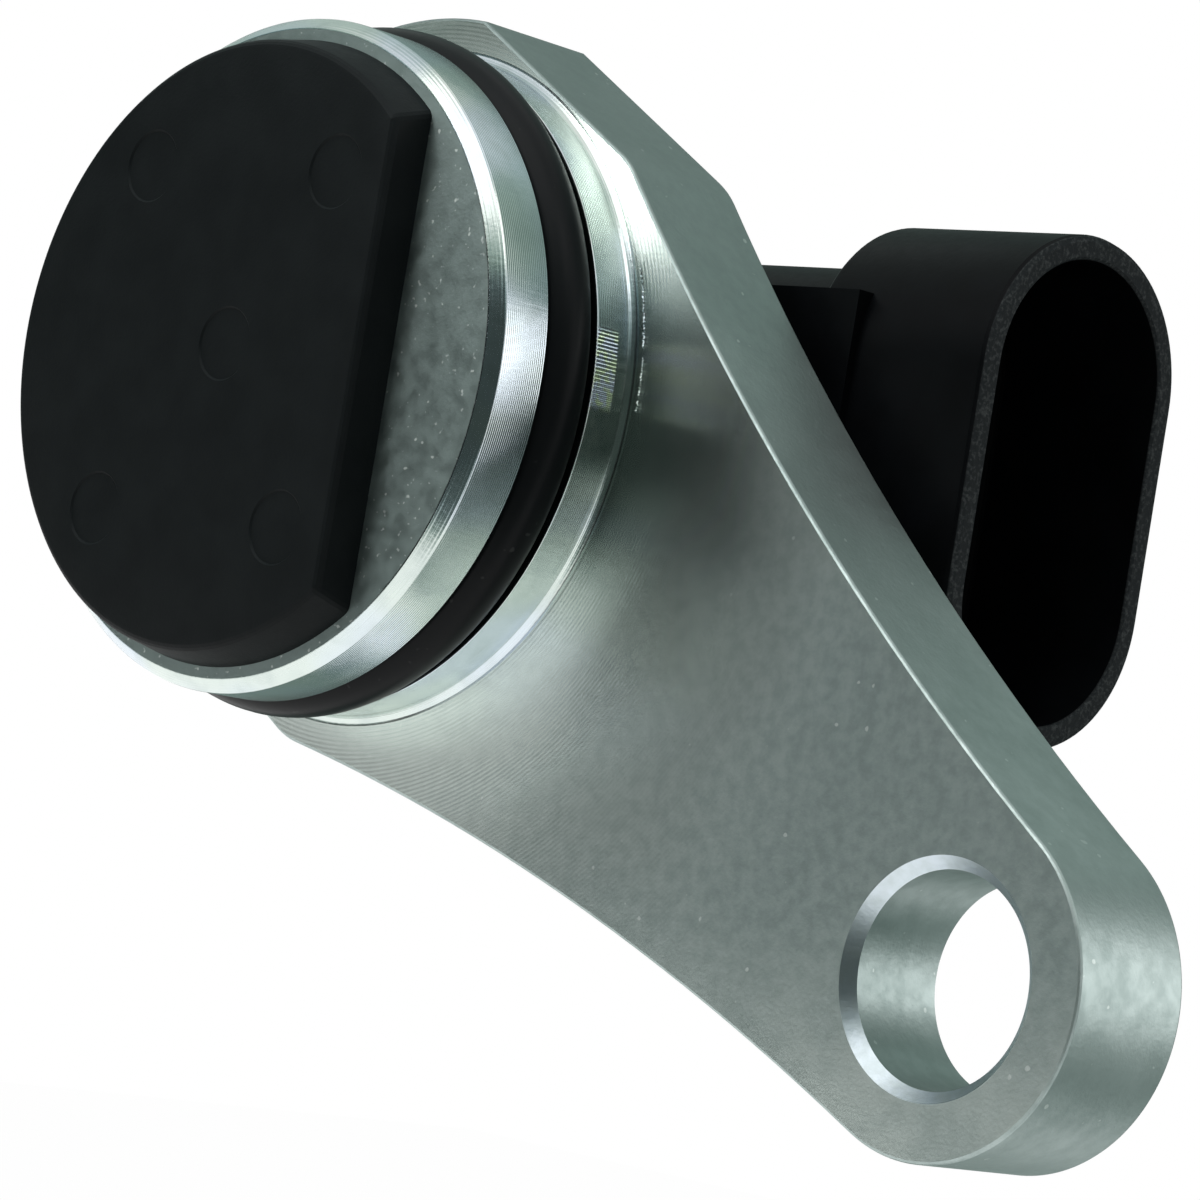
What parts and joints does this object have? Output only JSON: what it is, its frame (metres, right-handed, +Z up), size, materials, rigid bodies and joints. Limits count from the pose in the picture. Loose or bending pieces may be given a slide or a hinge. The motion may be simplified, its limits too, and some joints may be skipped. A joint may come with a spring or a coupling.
{
  "type": "camshaft position sensor",
  "caption": "Short camshaft position sensor: machined teardrop flange with one bolt ear, ring-sealed round spigot, black nose disc and a sideways plug socket.",
  "frame": {"origin": "on the spigot axis, in the plane of the flange's mounting face", "axes": "-Y points out of the nose along the spigot axis, +X points out of the connector mouth, +Z is up along the connector's long side; the bolt ear points down and towards +X"},
  "size_m": [0.0591, 0.0323, 0.0444],
  "materials": {
    "machined_aluminium": "turned and milled, with a matte sawn side wall",
    "ring_rubber": "satin black rubber",
    "black_moulding": "matte black glass-filled moulding",
    "capsule_plastic": "matte black",
    "board_laminate": "green lacquered laminate",
    "chip_case": "dull black epoxy",
    "pole_steel": "bright stamped steel",
    "magnet_metal": "dark sintered metal",
    "tinned_brass": "tin-plated",
    "lead_metal": "tinned",
    "capacitor_ceramic": "fired ceramic"
  },
  "bodies": {
    "root": {"housing": "machined_aluminium", "o_ring": "ring_rubber", "moulded_body": "black_moulding", "capsule_tray": "capsule_plastic", "capsule_lid": "capsule_plastic", "circuit_board": "board_laminate", "hall_chip": "chip_case", "pole_piece": "pole_steel", "bias_magnet": "magnet_metal", "terminal_ground": "tinned_brass", "terminal_signal": "tinned_brass", "terminal_supply": "tinned_brass", "chip_lead_ground": "lead_metal", "chip_lead_signal": "lead_metal", "chip_lead_supply": "lead_metal", "supply_capacitor": "capacitor_ceramic", "signal_capacitor": "capacitor_ceramic", "filter_capacitor": "capacitor_ceramic", "pull_up_resistor": "chip_case", "protection_diode": "chip_case"}
  },
  "joints": []
}
